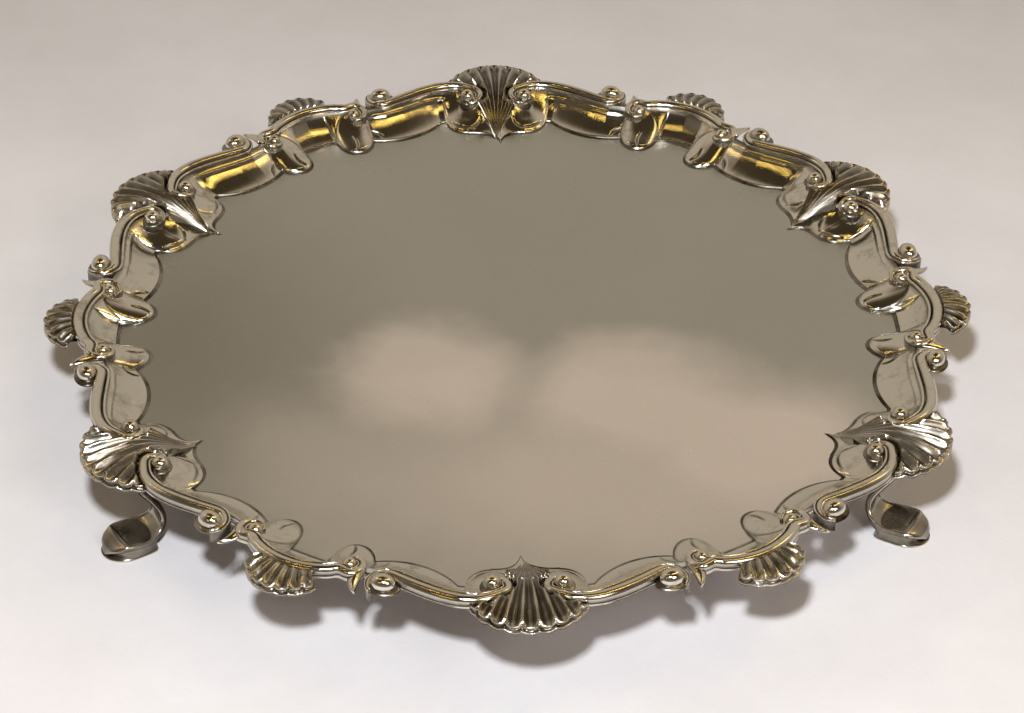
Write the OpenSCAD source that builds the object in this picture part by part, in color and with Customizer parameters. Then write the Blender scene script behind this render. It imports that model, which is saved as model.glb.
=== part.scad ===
// Three-footed salver: a flat round well inside a six-fold cast border of scrolls and shells.
// Millimetres, +Z up, z = 0 at the table, the centre of the well on the Z axis.
// Directions in the border are written bench-wise: x along the rim, y outward from the middle.

/* [Overall] */
// reach of the flat well, middle to a cusp of the border
cusp_radius = 97; // [80:0.5:120]
// height of the well's top face above the table
well_height = 26; // [20:0.5:34]

/* [Well plate] */
// thickness of the flat sheet
sheet = 1.1; // [0.8:0.1:2.5]

/* [Border bands] */
// rise of the band's outer edge over the well
band_rise = 6.3; // [4.5:0.1:8]
// height of the step at the band's inner edge
edge_step = 0.9; // [0.5:0.1:1.5]
// wall of the band where it hangs past the plate
band_wall = 1.5; // [1:0.1:2.5]
// how far the lobes and petals stand proud of the band
lobe_raise = 0.6; // [0.3:0.1:1]

/* [Scroll mouldings] */
// width of the side scroll moulding
side_width = 4.8; // [3.5:0.1:6]
// width of the long scroll moulding
long_width = 4.7; // [3.5:0.1:6]
// crest of the mouldings over the well
crest = 7.8; // [6.5:0.1:10]
// full depth of a moulding, crest to underside
moulding_depth = 4.9; // [3.5:0.1:6]
// bead in the eye of a side scroll, across
side_bead = 4.8; // [3.5:0.1:6]
// bead in the eye of a long scroll, across
long_bead = 4; // [3:0.1:5]
// ball at the outer end of a side scroll, across
outer_ball = 5.8; // [4:0.1:7]

/* [Shells] */
// flutes in a large shell
large_flutes = 9; // [7:2:11]
// large shell, focus to tip
large_reach = 20.6; // [17:0.1:24]
// flutes in a small shell
small_flutes = 7; // [5:2:9]
// small shell, focus to tip
small_reach = 12.5; // [10:0.1:15]
// height of the flutes over their grooves at the shell's edge
flute_relief = 1.4; // [0.8:0.1:2]

/* [Feet] */
// thickness of the foot strap
strap = 2.8; // [2:0.1:4]
// width of the strap where it leaves the rim
strap_width = 5; // [3.5:0.1:5.4]
// widest part of the toe
toe_width = 13; // [10:0.1:16]
// thickness of the pad under the toe
pad = 3; // [2:0.1:4]

/* [Hidden] */
$fn = 64;
k = cusp_radius / 97;                 // the plan grows and shrinks with the well
zp = well_height;
plate_radius = 112 * k;
zc = zp + crest;                      // moulding crest
zb = zc - moulding_depth;             // moulding underside
band_limit = 121 * k;
// side scroll: the eye beside the large shell, then over, down and round the outer ball
eye = [9.06 * k, 115.1 * k];
eye_r = 1.5 + side_width / 2;         // room for the bead stays the same
lift = 25;                            // heading as it leaves the eye
fall = 30;                            // heading of the straight run
bow_r = 16 * k;
leave = eye + eye_r * [-sin(lift), cos(lift)];
bow = leave + bow_r * [sin(lift), -cos(lift)];
run0 = bow + bow_r * [sin(fall), cos(fall)];
run = 14.1 * k;
run1 = run0 + run * [cos(fall), -sin(fall)];
hook_r = 2.2 + side_width / 2;
hook = run1 + hook_r * [sin(fall), cos(fall)];
// long scroll: one arc about a point on the small shell's axis, curling in at both ends
arc_y = 99.9 * k;
arc_r = 21.9 * k;
curl_r = 3.4;
curl_at = 44;                         // where the curl leaves the arc, from the axis
curl = [0, arc_y] + (arc_r - curl_r) * [sin(curl_at), cos(curl_at)];
curl_slim = 0.2;
// shells
hinge_y = 112.6 * k;
hinge_half = 2.5;
shell_under = zp + 4;
small_under = zb + 0.6;

// reach of the band's inner edge, by degrees from the large shell's axis
edge_table = [[0, 1.003], [0.7, 1.025], [1.5, 1.043], [2.5, 1.053], [4, 1.06], [5.5, 1.07], [7, 1.09],
    [8, 1.112], [8.8, 1.14], [10, 1.122], [12, 1.1], [14, 1.083], [16, 1.073], [18, 1.071], [20, 1.077],
    [21.3, 1.085], [22, 1.068], [23, 1.052], [24.2, 1.045], [25.3, 1.056], [26.3, 1.085], [27.3, 1.115],
    [28.5, 1.13], [30, 1.135]];
function inner_edge(t) = cusp_radius * lookup(30 - abs(t), edge_table);

// ---- placing: y of the bench turned to a compass direction ----
module at_axis(a) { rotate([0, 0, a - 90]) children(); }
function large_axis(i) = 30 + 60 * (i - 1);
function small_axis(i) = 60 * (i - 1);
function foot_axis(i) = 90 + 120 * (i - 1);

// ---- moulding: a half round with a fillet step each side ----
// the curled ends are cast a little slimmer than the run between them
module moulding_profile(w, slim = 0) {
    s = 0.34 * w - slim / 2;
    h = w / 2 - slim;
    t = zc - slim;
    polygon(concat([[-h, zb + slim], [h, zb + slim], [h, t - s]],
        [for (a = [0:22.5:180]) [s * cos(a), t - s + s * sin(a)]],
        [[-h, t - s]]));
}
module moulding_arc(c, r, a0, a1, w, slim = 0) {
    translate([c[0], c[1], 0]) rotate([0, 0, a0])
        rotate_extrude(angle = a1 - a0) translate([r, 0]) moulding_profile(w, slim);
}
module keep_arc(c, r0, r1, a0, a1) {
    translate([c[0], c[1], zp - 8]) rotate([0, 0, a0])
        rotate_extrude(angle = a1 - a0) translate([r0, 0]) square([r1 - r0, 30]);
}
module drum(c, r, z0, z1) { translate([c[0], c[1], z0]) cylinder(r = r, h = z1 - z0); }

// ---- the flat sheet ----
module well_plate() { color("Silver") translate([0, 0, zp - sheet]) cylinder(r = plate_radius, h = sheet); }

// ---- one sixth of the border, cusp to cusp ----
function cavetto(f) = edge_step + (band_rise - edge_step) * pow(f, 2.6);
function band_top(r, up) = zp + cavetto(max(0, min(1, (r / k - 97) / 21))) + up;
module band_revolve(up) {
    rs = [96, 100, 104, 108, 112, 115, 118, 121];
    rotate([0, 0, 60]) rotate_extrude(angle = 60) polygon(concat(
        [for (r = rs) [r * k, band_top(r * k, up)]],
        [for (j = [0:3]) let (r = rs[7 - j]) [r * k, band_top(r * k, 0) - band_wall]],
        [[112 * k, zp], [96 * k, zp]]));
}
module band_plan() {
    translate([0, 0, zp - 2]) linear_extrude(height = 20) polygon(concat(
        [for (t = [-30:0.75:30]) inner_edge(t) * [sin(t), cos(t)]],
        [for (t = [30:-7.5:-30]) 1.35 * cusp_radius * [sin(t), cos(t)]]));
}
module oval(c, rx, ry, turn) {
    translate([c[0], c[1], zp]) rotate([0, 0, turn]) linear_extrude(height = 12)
        polygon([for (a = [0:15:345]) [rx * cos(a), ry * sin(a)]]);
}
// all that stands outside or through the band, seen from the small shell's axis
module band_clearance() {
    keep_arc([0, arc_y], arc_r - long_width / 2, arc_r + 20, 90 - curl_at, 90 + curl_at);
    for (m = [0, 1]) mirror([m, 0, 0]) {
        drum(curl, curl_r + long_width / 2 - curl_slim, zp - 8, zp + 20);
        rotate([0, 0, 30]) {
            keep_arc(bow, bow_r - side_width / 2, bow_r + 20, 90 - fall, 90 + lift);
            drum(eye, eye_r + side_width / 2 - curl_slim, zp - 8, zp + 20);
            drum(hook, hook_r + side_width / 2 - curl_slim, zp - 8, zp + 20);
            translate([run0[0], run0[1], zp - 8]) rotate([0, 0, -fall])
                translate([0, -side_width / 2, 0]) cube([run, 24, 30]);
            translate([-6, hinge_y, zp - 8]) cube([6 + eye[0] - eye_r - side_width / 2 + 0.64, 20, 30]);
            translate([-6, eye[1], zp - 8]) cube([6 + eye[0], 20, 30]);
        }
    }
}
module band() {
    difference() {
        intersection() {
            union() {
                band_revolve(0);
                intersection() {
                    band_revolve(lobe_raise);
                    union() for (m = [0, 1]) mirror([m, 0, 0]) {
                        oval(1.115 * cusp_radius * [sin(5.8), cos(5.8)], 6 * k, 8 * k, -5.8);
                        oval(1.115 * cusp_radius * [sin(25.2), cos(25.2)], 7.2 * k, 6.4 * k, -25.2);
                    }
                }
            }
            band_plan();
        }
        band_clearance();
    }
}
module border_band(i) { color("LightSteelBlue") at_axis(small_axis(i)) band(); }

// ---- long scroll: arc, two curls, their beads, and a leaf tip behind each curl ----
module long_scroll(i) {
    color("Gainsboro") at_axis(small_axis(i)) {
        moulding_arc([0, arc_y], arc_r, 90 - curl_at, 90 + curl_at, long_width);
        for (m = [0, 1]) mirror([m, 0, 0]) {
            moulding_arc(curl, curl_r, -100, 90 - curl_at, long_width, curl_slim);
            drum(curl, curl_r + long_width / 2 - 0.4, zb + 0.3, zp + 4.5);
            drum(curl, curl_r - long_width / 2 + curl_slim + 0.4, zp + 4, zp + 5.4);
            translate([curl[0], curl[1], zp + 5.6]) sphere(r = long_bead / 2);
            translate([curl[0], curl[1], zp + 5]) rotate([0, 0, 57]) translate([curl_r + 1.4, 0, 0])
                rotate([0, 90, 0]) cylinder(r1 = 1.5, r2 = 0.4, h = 6.4);
        }
    }
}

// ---- side scroll: eye with its bead, bowed run, hook with its ball ----
module side_scroll() {
    moulding_arc(eye, eye_r, 90 + lift, 262, side_width, curl_slim);
    moulding_arc(bow, bow_r, 90 - fall, 90 + lift, side_width);
    translate([run0[0], run0[1], 0]) rotate([0, 0, -fall]) translate([-0.15, 0, 0]) rotate([90, 0, 90])
        linear_extrude(height = run + 0.3) moulding_profile(side_width);
    moulding_arc(hook, hook_r, -90 - fall, 0, side_width, curl_slim);
    drum(eye, eye_r + side_width / 2 - 0.4, zb + 0.3, zp + 4.5);
    drum(eye, eye_r - side_width / 2 + curl_slim + 0.4, zp + 4, zp + 6);
    translate([eye[0], eye[1], zp + 6.4]) sphere(r = side_bead / 2);
    drum(hook, hook_r - side_width / 2 + curl_slim + 0.4, zb + 0.4, zp + 6);
    translate([hook[0], hook[1], zp + 6.7]) sphere(r = outer_ball / 2);
}
module side_scroll_right(i) { color("Silver") at_axis(large_axis(i)) side_scroll(); }
module side_scroll_left(i) { color("Silver") at_axis(large_axis(i)) mirror([1, 0, 0]) side_scroll(); }

// ---- shells: a fan of flutes ruled from a hinge line to a scalloped edge ----
module fan(hy, hh, fy, reach, half, flutes, zh, zm, ze, zu, rows) {
    n = flutes * 4;
    function lobe(j) = abs(sin(180 * j / 4));
    function th(j) = half * (2 * j / n - 1);
    function hin(j) = [hh * (2 * j / n - 1), hy];
    function rim(j) = let (q = reach - 1.5 * (1 - lobe(j))) [q * sin(th(j)), fy + q * cos(th(j))];
    function base(s) = s < 0.5 ? zh + (zm - zh) * sin(180 * s) : ze + (zm - ze) * sin(180 * s);
    top = [for (i = [0:rows]) for (j = [0:n]) let (s = i / rows, p = hin(j) * (1 - s) + rim(j) * s)
        [p[0], p[1], base(s) + flute_relief * s * (lobe(j) - 0.5)]];
    low = concat([for (j = [0:n]) [hin(j)[0], hin(j)[1], zu]], [for (j = [0:n]) [rim(j)[0], rim(j)[1], zu]]);
    m = n + 1;
    b = len(top);
    polyhedron(points = concat(top, low), faces = concat(
        [for (i = [0:rows - 1]) for (j = [0:n - 1]) [i * m + j, (i + 1) * m + j, (i + 1) * m + j + 1]],
        [for (i = [0:rows - 1]) for (j = [0:n - 1]) [i * m + j, (i + 1) * m + j + 1, i * m + j + 1]],
        [for (j = [0:n - 1]) [b + j, b + j + 1, b + m + j + 1]],
        [for (j = [0:n - 1]) [b + j, b + m + j + 1, b + m + j]],
        [for (j = [0:n - 1]) [j, j + 1, b + j + 1]],
        [for (j = [0:n - 1]) [j, b + j + 1, b + j]],
        [for (j = [0:n - 1]) [rows * m + j + 1, rows * m + j, b + m + j]],
        [for (j = [0:n - 1]) [rows * m + j + 1, b + m + j, b + m + j + 1]],
        [for (i = [0:rows - 1]) [b, (i + 1) * m, i * m]], [[b, b + m, rows * m]],
        [for (i = [0:rows - 1]) [b + n, i * m + n, (i + 1) * m + n]], [[b + n, rows * m + n, b + m + n]]));
}
module large_shell(i) {
    color("White") at_axis(large_axis(i)) difference() {
        fan(hinge_y, hinge_half, hinge_y - 0.6, large_reach, 57, large_flutes, zp + 6.2, zp + 8.4, zp + 6.6, shell_under, 4);
        for (m = [0, 1]) mirror([m, 0, 0]) {
            drum(eye, eye_r + side_width / 2 - curl_slim, zp - 8, zp + 20);
            keep_arc(bow, 1, bow_r + side_width / 2, 90 - fall, 90 + lift);
        }
    }
}
module small_shell(i) {
    color("White") at_axis(small_axis(i)) difference() {
        fan(119.4 * k, 4, 119.4 * k, small_reach, 64, small_flutes, zp + 6.6, zp + 7.6, zp + 5.8, small_under, 3);
        drum([0, arc_y], arc_r + long_width / 2, zp - 8, zp + 20);
    }
}

// ---- foot: a strap swept down from the rim, in at the knee and out to a broad toe ----
foot_line = [[119.2, 4], [119.4, 0.5], [118.6, -4], [116.6, -9], [114.3, -13.4], [113.8, -17.4], [115.6, -20.6],
    [119.2, -21.8], [123.2, -21.4], [126.8, -20.8], [129.2, -21.4], [130, -22.8]];
foot_wide = [1, 1, 1, 1, 1.1, 1.3, 1.7, 2.15, 2.5, 2.6, 2.3, 1.5];
module foot_scroll(i) {
    n = len(foot_line);
    drop = (zp - 26);
    function fz(j) = zp + foot_line[j][1] - (foot_line[j][1] > 0 ? 0 : drop * min(1, -foot_line[j][1] / 20));
    function at(j) = [foot_line[j][0] * k, fz(j)];
    function dir(j) = let (d = at(min(n - 1, j + 1)) - at(max(0, j - 1))) d / norm(d);
    function half(j) = (j > 5 ? toe_width * foot_wide[j] / 2.6 : strap_width * foot_wide[j]) / 2;
    // eight points round the strap: a flat oval
    function ring(j) = [for (a = [0:45:315]) let (d = dir(j), u = [-d[1], d[0]], w = half(j) * cos(a),
        h = strap / 2 * (abs(sin(a)) > 0.9 ? 1 : abs(sin(a)) > 0.5 ? 0.9 : 0) * sign(sin(a)) * (j == n - 1 ? 0.6 : 1))
        [w, at(j)[0] + u[0] * h, j == 0 ? fz(0) : max(pad, at(j)[1] + u[1] * h)]];
    pts = [for (j = [0:n - 1]) each ring(j)];
    color("DarkGray") at_axis(foot_axis(i)) polyhedron(points = pts, faces = concat(
        [for (j = [0:n - 2]) for (q = [0:7]) let (r = (q + 1) % 8) [j * 8 + q, j * 8 + r, (j + 1) * 8 + r]],
        [for (j = [0:n - 2]) for (q = [0:7]) let (r = (q + 1) % 8) [j * 8 + q, (j + 1) * 8 + r, (j + 1) * 8 + q]],
        [for (q = [1:6]) [0, q + 1, q]], [for (q = [1:6]) [(n - 1) * 8, (n - 1) * 8 + q, (n - 1) * 8 + q + 1]]));
}
module foot_pad(i) {
    color("DimGray") at_axis(foot_axis(i)) {
        translate([0, 122.8 * k, 0]) cylinder(r = 0.47 * toe_width, h = pad);
        translate([-0.47 * toe_width, 116 * k, 0]) cube([0.94 * toe_width, 6.8 * k, pad]);
    }
}

well_plate();
border_band(1);  // border_band_1
border_band(2);  // border_band_2
border_band(3);  // border_band_3
border_band(4);  // border_band_4
border_band(5);  // border_band_5
border_band(6);  // border_band_6
long_scroll(1);  // long_scroll_1
long_scroll(2);  // long_scroll_2
long_scroll(3);  // long_scroll_3
long_scroll(4);  // long_scroll_4
long_scroll(5);  // long_scroll_5
long_scroll(6);  // long_scroll_6
side_scroll_left(1);  // side_scroll_left_1
side_scroll_left(2);  // side_scroll_left_2
side_scroll_left(3);  // side_scroll_left_3
side_scroll_left(4);  // side_scroll_left_4
side_scroll_left(5);  // side_scroll_left_5
side_scroll_left(6);  // side_scroll_left_6
side_scroll_right(1);  // side_scroll_right_1
side_scroll_right(2);  // side_scroll_right_2
side_scroll_right(3);  // side_scroll_right_3
side_scroll_right(4);  // side_scroll_right_4
side_scroll_right(5);  // side_scroll_right_5
side_scroll_right(6);  // side_scroll_right_6
large_shell(1);  // large_shell_1
large_shell(2);  // large_shell_2
large_shell(3);  // large_shell_3
large_shell(4);  // large_shell_4
large_shell(5);  // large_shell_5
large_shell(6);  // large_shell_6
small_shell(1);  // small_shell_1
small_shell(2);  // small_shell_2
small_shell(3);  // small_shell_3
small_shell(4);  // small_shell_4
small_shell(5);  // small_shell_5
small_shell(6);  // small_shell_6
foot_scroll(1);  // foot_scroll_1
foot_scroll(2);  // foot_scroll_2
foot_scroll(3);  // foot_scroll_3
foot_pad(1);  // foot_pad_1
foot_pad(2);  // foot_pad_2
foot_pad(3);  // foot_pad_3
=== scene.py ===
# %% [markdown]
# # A three-footed silver salver
# A salver is a small footed tray. This one has a flat sheet in the middle, a border cast in six repeats
# and soldered round it, shells over the joints, and three scroll feet. The engineering solids settled where
# everything goes and how big it is. Here each piece is modelled again to those sizes, finely, and finished
# as polished silver.

# %% Load the frame
import bpy, bmesh, math
import numpy as np
from mathutils import Matrix, Vector


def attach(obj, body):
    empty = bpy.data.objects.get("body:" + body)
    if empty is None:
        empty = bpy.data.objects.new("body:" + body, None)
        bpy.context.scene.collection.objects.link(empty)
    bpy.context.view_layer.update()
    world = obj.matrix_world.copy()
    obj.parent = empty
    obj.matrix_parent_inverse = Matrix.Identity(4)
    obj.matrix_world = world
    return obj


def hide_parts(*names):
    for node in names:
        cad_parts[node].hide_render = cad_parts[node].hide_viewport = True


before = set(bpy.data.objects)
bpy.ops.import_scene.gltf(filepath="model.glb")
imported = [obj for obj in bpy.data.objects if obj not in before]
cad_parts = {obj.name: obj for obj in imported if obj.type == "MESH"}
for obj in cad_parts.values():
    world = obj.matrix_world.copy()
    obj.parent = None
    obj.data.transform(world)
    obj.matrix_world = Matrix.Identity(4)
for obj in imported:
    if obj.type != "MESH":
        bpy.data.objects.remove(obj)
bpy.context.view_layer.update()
print("solids in the frame:", len(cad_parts))

# %% [markdown]
# ## Working sizes
# Silver is measured in millimetres and Blender in metres, so shapes are worked out in millimetres and the
# last step of every piece turns them into metres. Heights count from the table, and the well's face is at
# WELL. Border shapes are worked out "on the bench": x runs along the rim and y points outward from the
# middle.

# %% Sizes
MM = 0.001
CUSP = 97.0          # middle of the well to a point of the border
WELL = 26.0          # height of the well's face
CREST = WELL + 7.8   # top of the mouldings, where they run level
LARGE_AXES = [30 + 60 * i for i in range(6)]
SMALL_AXES = [60 * i for i in range(6)]
FOOT_AXES = [90, 210, 330]
print("well face at", WELL, "mm, crest at", CREST, "mm")

# %% [markdown]
# ## Helpers for shaping
# Nearly every surface here is a strip that has been bent: a moulding is a strip rolled into a bar, a
# shell is a strip spread into a fan. So one helper makes a grid with a bmesh operator and moves its
# points by a rule. Its seam is welded afterwards, open ends are filled, and the faces are turned outward.

# %% Bend a grid into a piece
def bend_grid(along, across, rule):
    """rule(u, v) gives x, y, z in mm and, if it likes, how dark it is there (0 to 1): tarnish, and in places
    painted shade.
    """
    bm = bmesh.new()
    bmesh.ops.create_grid(bm, x_segments=along, y_segments=across, size=0.5)
    tarnish_and_shade = bm.verts.layers.float.new("tarnish_and_shade")
    lo = min(v.co.x for v in bm.verts)
    for v in bm.verts:
        x, y, z, *dirt_and_shade = rule((v.co.x - lo) / (-2 * lo), (v.co.y - lo) / (-2 * lo))
        v.co = Vector((x, y, z)) * MM
        v[tarnish_and_shade] = dirt_and_shade[0] if dirt_and_shade else 0.0
    return bm


def close_up(bm, weld=0.004):
    bmesh.ops.remove_doubles(bm, verts=bm.verts, dist=weld * MM)
    bmesh.ops.dissolve_degenerate(bm, edges=bm.edges, dist=0.001 * MM)
    open_edges = [e for e in bm.edges if e.is_boundary]
    if open_edges:
        bmesh.ops.holes_fill(bm, edges=open_edges, sides=0)
    bmesh.ops.recalc_face_normals(bm, faces=bm.faces)


def smooth_step(x):
    x = min(1.0, max(0.0, x))
    return x * x * (3 - 2 * x)


def between(x, stops):
    """The value at x along straight lines drawn through the stops, each (place, value)."""
    places, values = zip(*stops)
    return float(np.interp(x, places, values))


def turned(x, y, degrees):
    a = math.radians(degrees)
    return x * math.cos(a) - y * math.sin(a), x * math.sin(a) + y * math.cos(a)


def curve_through(points, count):
    """A smooth curve through the points, as count + 1 evenly spaced rows."""
    p = np.array(points, float)
    ends = np.vstack([2 * p[0] - p[1], p, 2 * p[-1] - p[-2]])
    rows = []
    for i in range(len(p) - 1):
        a, b, c, d = ends[i:i + 4]
        square, cube = 2 * a - 5 * b + 4 * c - d, 3 * b - a - 3 * c + d
        for t in np.linspace(0, 1, 24, endpoint=False):
            rows.append(0.5 * (2 * b + (c - a) * t + square * t**2 + cube * t**3))
    rows = np.array(rows + [p[-1]])
    run = np.concatenate([[0], np.cumsum(np.linalg.norm(np.diff(rows[:, :2], axis=0), axis=1))])
    at = np.linspace(0, run[-1], count + 1)
    return np.stack([np.interp(at, run, rows[:, k]) for k in range(p.shape[1])], axis=1)


print("helpers ready")

# %% [markdown]
# ## From one master to all its copies
# A founder casts all six large shells from one pattern. The script does the same: a master mesh is built
# once with its axis on +Y, and each copy's mesh is turned to its own place, so every object stays at the
# origin.

# %% Set a copy in its place
pieces = []


def set_copy(master, name, compass, node, slot, flip=False):
    bm = master.copy()
    if flip:
        bmesh.ops.scale(bm, vec=(-1, 1, 1), verts=bm.verts)
        bmesh.ops.reverse_faces(bm, faces=bm.faces)
    turn = Matrix.Rotation(math.radians(compass - 90), 3, "Z")
    bmesh.ops.rotate(bm, cent=(0, 0, 0), matrix=turn, verts=bm.verts)
    mesh = bpy.data.meshes.new(name)
    bm.to_mesh(mesh)
    bm.free()
    for poly in mesh.polygons:
        poly.use_smooth = True
    piece = bpy.data.objects.new(name, mesh)
    bpy.context.scene.collection.objects.link(piece)
    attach(piece, "root")
    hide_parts(node)
    pieces.append((piece, slot))


print("ready to set copies")

# %% [markdown]
# ## The well plate
# The middle is one flat sheet, hammered out and polished by hand, so it is never dead flat: the face
# swells and dips by a few hundredths of a millimetre, and that is what makes reflections in it waver. The
# grid is bent into a disc with its rim closed, face on top and back below.

# %% Well plate
PLATE_REACH = 112.0
SHEET = 1.1
SOFT_EDGE = 0.3      # how far the sheet's edge is rubbed round
SINK = 0.02          # keeps the swelling face just under the well's level
BACK = WELL - SHEET
FACE_ENDS = 0.66     # the part of the grid that makes the face; the rest is edge and back
PLATE_OUT = [(0.0, 0), (FACE_ENDS, PLATE_REACH - SOFT_EDGE), (0.70, PLATE_REACH), (0.74, PLATE_REACH),
             (0.78, PLATE_REACH - SOFT_EDGE), (1.0, 0)]
PLATE_EDGE = [(FACE_ENDS, WELL - SINK), (0.70, WELL - SOFT_EDGE), (0.74, BACK + SOFT_EDGE), (0.78, BACK)]


def well_face(x, y):
    long_swell = 0.022 * math.sin(x / 23.0 + 0.6) * math.cos(y / 19.0)
    short_swell = 0.012 * math.sin((x + y) / 11.0)
    return WELL + long_swell + short_swell - SINK


def plate_rule(u, v):
    a = -2 * math.pi * u
    r = between(v, PLATE_OUT)
    x, y = r * math.cos(a), r * math.sin(a)
    return x, y, well_face(x, y) if v <= FACE_ENDS else between(v, PLATE_EDGE)


plate = bend_grid(240, 100, plate_rule)
close_up(plate, 0.02)
set_copy(plate, "well_sheet", 90, "well_plate", "plate_silver")
print("well sheet:", len(plate.faces), "faces")

# %% [markdown]
# ## The outline of the border
# Seen from above, the border's inner edge is a run of shapes laid side by side: a point with hollow
# flanks under each large shell, a round petal each side of it, a long shallow swell, a leaning oval lobe,
# and a plain arc by the small shell. Where two shapes meet there is a sharp notch. The edge is whichever
# shape reaches furthest in.

# %% Inner and outer edge of the border
# Ovals: degrees from the large shell's axis and reach of the middle, half width, half depth, lean in degrees.
# Reaches and half sizes are in cusp radii.
PETAL = (4.6, 1.13, 0.070, 0.068, 0)
SWELL = (16.6, 1.29, 0.225, 0.220, 0)
LOBE = (24.0, 1.125, 0.060, 0.081, -9)
MISSED = 9.0         # a reach so far out that another shape always wins
# where the band meets the mouldings, by degrees from the large shell's axis, in cusp radii
RIM = [(0, 1.166), (2.6, 1.168), (3.4, 1.185), (4.6, 1.215), (6, 1.232), (8.2, 1.238), (11, 1.226),
       (15, 1.198), (18, 1.186), (20, 1.19), (22, 1.195), (23.4, 1.2), (24.6, 1.216), (27, 1.231),
       (30, 1.238)]


def near_side(centre_deg, centre_r, across, deep, lean, deg):
    """Where a ray at deg first meets a leaning oval."""
    a = math.radians(deg - centre_deg)
    ox, oy = turned(0.0, -centre_r, lean)       # the middle of the salver, seen from the oval
    dx, dy = turned(math.sin(a), math.cos(a), lean)
    square = (dx / across)**2 + (dy / deep)**2
    single = 2 * (ox * dx / across**2 + oy * dy / deep**2)
    alone = (ox / across)**2 + (oy / deep)**2 - 1
    under_root = single * single - 4 * square * alone
    return (-single - math.sqrt(under_root)) / (2 * square) if under_root > 0 else MISSED


def inner_edge(phi, side=1):
    """Reach of the inner edge, phi degrees from the large shell's axis."""
    p = phi + side * 0.8 * math.exp(-phi / 1.6)      # the point leans a little to one side
    plain_arc = 1.137 + 0.004 * math.cos(math.radians(6 * (phi - 30)))
    point = 1.003 + 0.058 * (1 - math.exp(-abs(p) / 1.2)) if p < 5 else MISSED
    return CUSP * min([plain_arc, point] + [near_side(*oval, phi) for oval in (PETAL, SWELL, LOBE)])


def outer_edge(phi):
    return CUSP * between(phi, RIM)


for place, deg in (("point", 0), ("petal", 4.6), ("swell", 16), ("lobe", 24), ("plain arc", 30)):
    print("inner edge at the", place, "is", round(inner_edge(deg), 1), "mm out")

# %% [markdown]
# ## The border band
# Between the flat well and the mouldings the band rises in a hollow curve. It starts with a small rounded
# step, and the petals and leaning lobes stand proud of it as soft pads. A few cuts are engraved beside
# them, and a thin bead runs along under the moulding. A dense grid can carry all of that in its heights.

# %% Relief of the band
def oval_depth(centre_deg, centre_r, across, deep, lean, deg, r):
    """1 in the middle of a leaning oval pad, 0 at its rim, below 0 outside."""
    a = math.radians(deg - centre_deg)
    x, y = turned(r * math.sin(a), r * math.cos(a) - centre_r, lean)
    return 1 - math.hypot(x / across, y / deep)


def pad(depth, height, crease):
    rise = height * max(0.0, 1 - (1 - min(1.0, max(0.0, depth) * 1.25))**2)**0.75
    return rise - crease * math.exp(-(depth / 0.04)**2)


def at_compass(deg, r):
    return r * math.sin(math.radians(deg)), r * math.cos(math.radians(deg))


def cut_line(deg, r, a, b, width):
    """How strongly a point lies on an engraved, slightly bowed line from a to b, each (degrees, reach)."""
    ax, ay = at_compass(*a)
    bx, by = at_compass(*b)
    x, y = at_compass(deg, r)
    run_x, run_y = bx - ax, by - ay
    t = min(1.0, max(0.0, ((x - ax) * run_x + (y - ay) * run_y) / (run_x**2 + run_y**2)))
    n = math.hypot(run_x, run_y)
    bow = 0.12 * math.sin(math.pi * t) * n
    gap = math.hypot(x - ax - t * run_x + bow * run_y / n, y - ay - t * run_y - bow * run_x / n)
    return math.exp(-(gap / width)**2) * math.sin(math.pi * min(1, max(0, 0.15 + 0.7 * t)))


CUTS = [((25.0, 1.065), (24.4, 1.12), 0.0035), ((19.3, 1.095), (20.9, 1.135), 0.004),
        ((7.4, 1.125), (4.4, 1.085), 0.0035), ((4.4, 1.085), (2.6, 1.12), 0.003)]
FLANGE, FLANGE_WIDE = 0.05, 0.8      # the thin edge that lies on the sheet
STEP, STEP_WIDE = 0.42, 0.5          # the rounded step behind it
RISE, HOLLOW = 5.8, 1.9              # rise of the hollow curve, and how late it rises
PAD, CREASE = 1.3, 0.35
REED, CUT = 0.35, 0.38


def band_height(phi, r, side):
    inner, outer = inner_edge(phi, side), outer_edge(phi)
    q = r / CUSP
    d = r - inner
    f = min(1.0, max(0.0, d / max(1.0, outer - inner)))
    up_step = 1 - min(1.0, max(0.0, d - 0.9) / STEP_WIDE)
    z = FLANGE * min(1.0, d / 0.08) + STEP * math.sqrt(max(0.0, 1 - up_step**2)) + RISE * f**HOLLOW
    past = d - FLANGE_WIDE
    z += pad(oval_depth(*LOBE, phi, q), PAD, CREASE) * (1 - 0.7 * f) * smooth_step(past / 1.3)
    z += PAD * smooth_step(oval_depth(*PETAL, phi, q) * 1.2 + 0.1) * (1 - 0.6 * f) * smooth_step(past / 1.6)
    reed_runs = smooth_step((phi - 7) / 3) * (1 - smooth_step((phi - 19) / 2))
    z += REED * math.exp(-((f - 0.82) / 0.035)**2) * reed_runs
    for a, b, width in CUTS:
        z -= CUT * cut_line(phi, q, a, b, width)
    return z


def band_dirt_and_shade(phi, r, side):
    """Dark polish is left in the creases and the cuts, and the band is darker against the moulding. The
    flange is painted dark as a painted shade: the shaded line where the band meets the sheet.
    """
    q, d = r / CUSP, r - inner_edge(phi, side)
    f = d / max(1.0, outer_edge(phi) - inner_edge(phi, side))
    # painted shade: the flange is painted dark to draw the shaded line where the band meets the sheet
    flange_shade = 1 - smooth_step((d - 0.98) / 0.3)
    crease = 0.8 * math.exp(-(oval_depth(*LOBE, phi, q) / 0.05)**2)
    by_moulding = 0.75 * smooth_step((f - 0.86) / 0.12)
    cuts = [0.9 * cut_line(phi, q, a, b, width * 1.2) for a, b, width in CUTS]
    return max([flange_shade, crease, by_moulding] + cuts)


print("rise at the moulding:", round(band_height(14, outer_edge(14), 1), 2), "mm")

# %% Border band master and its six copies
BAND_WALL = 1.5
TOP_ENDS = 0.80      # the part of the grid that makes the top; the rest is the underside
DENSE = (0.18, 0.11)   # this share of the top's rows is spent on this share of its width, by the step
BELOW_DIRT = 0.4


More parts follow.
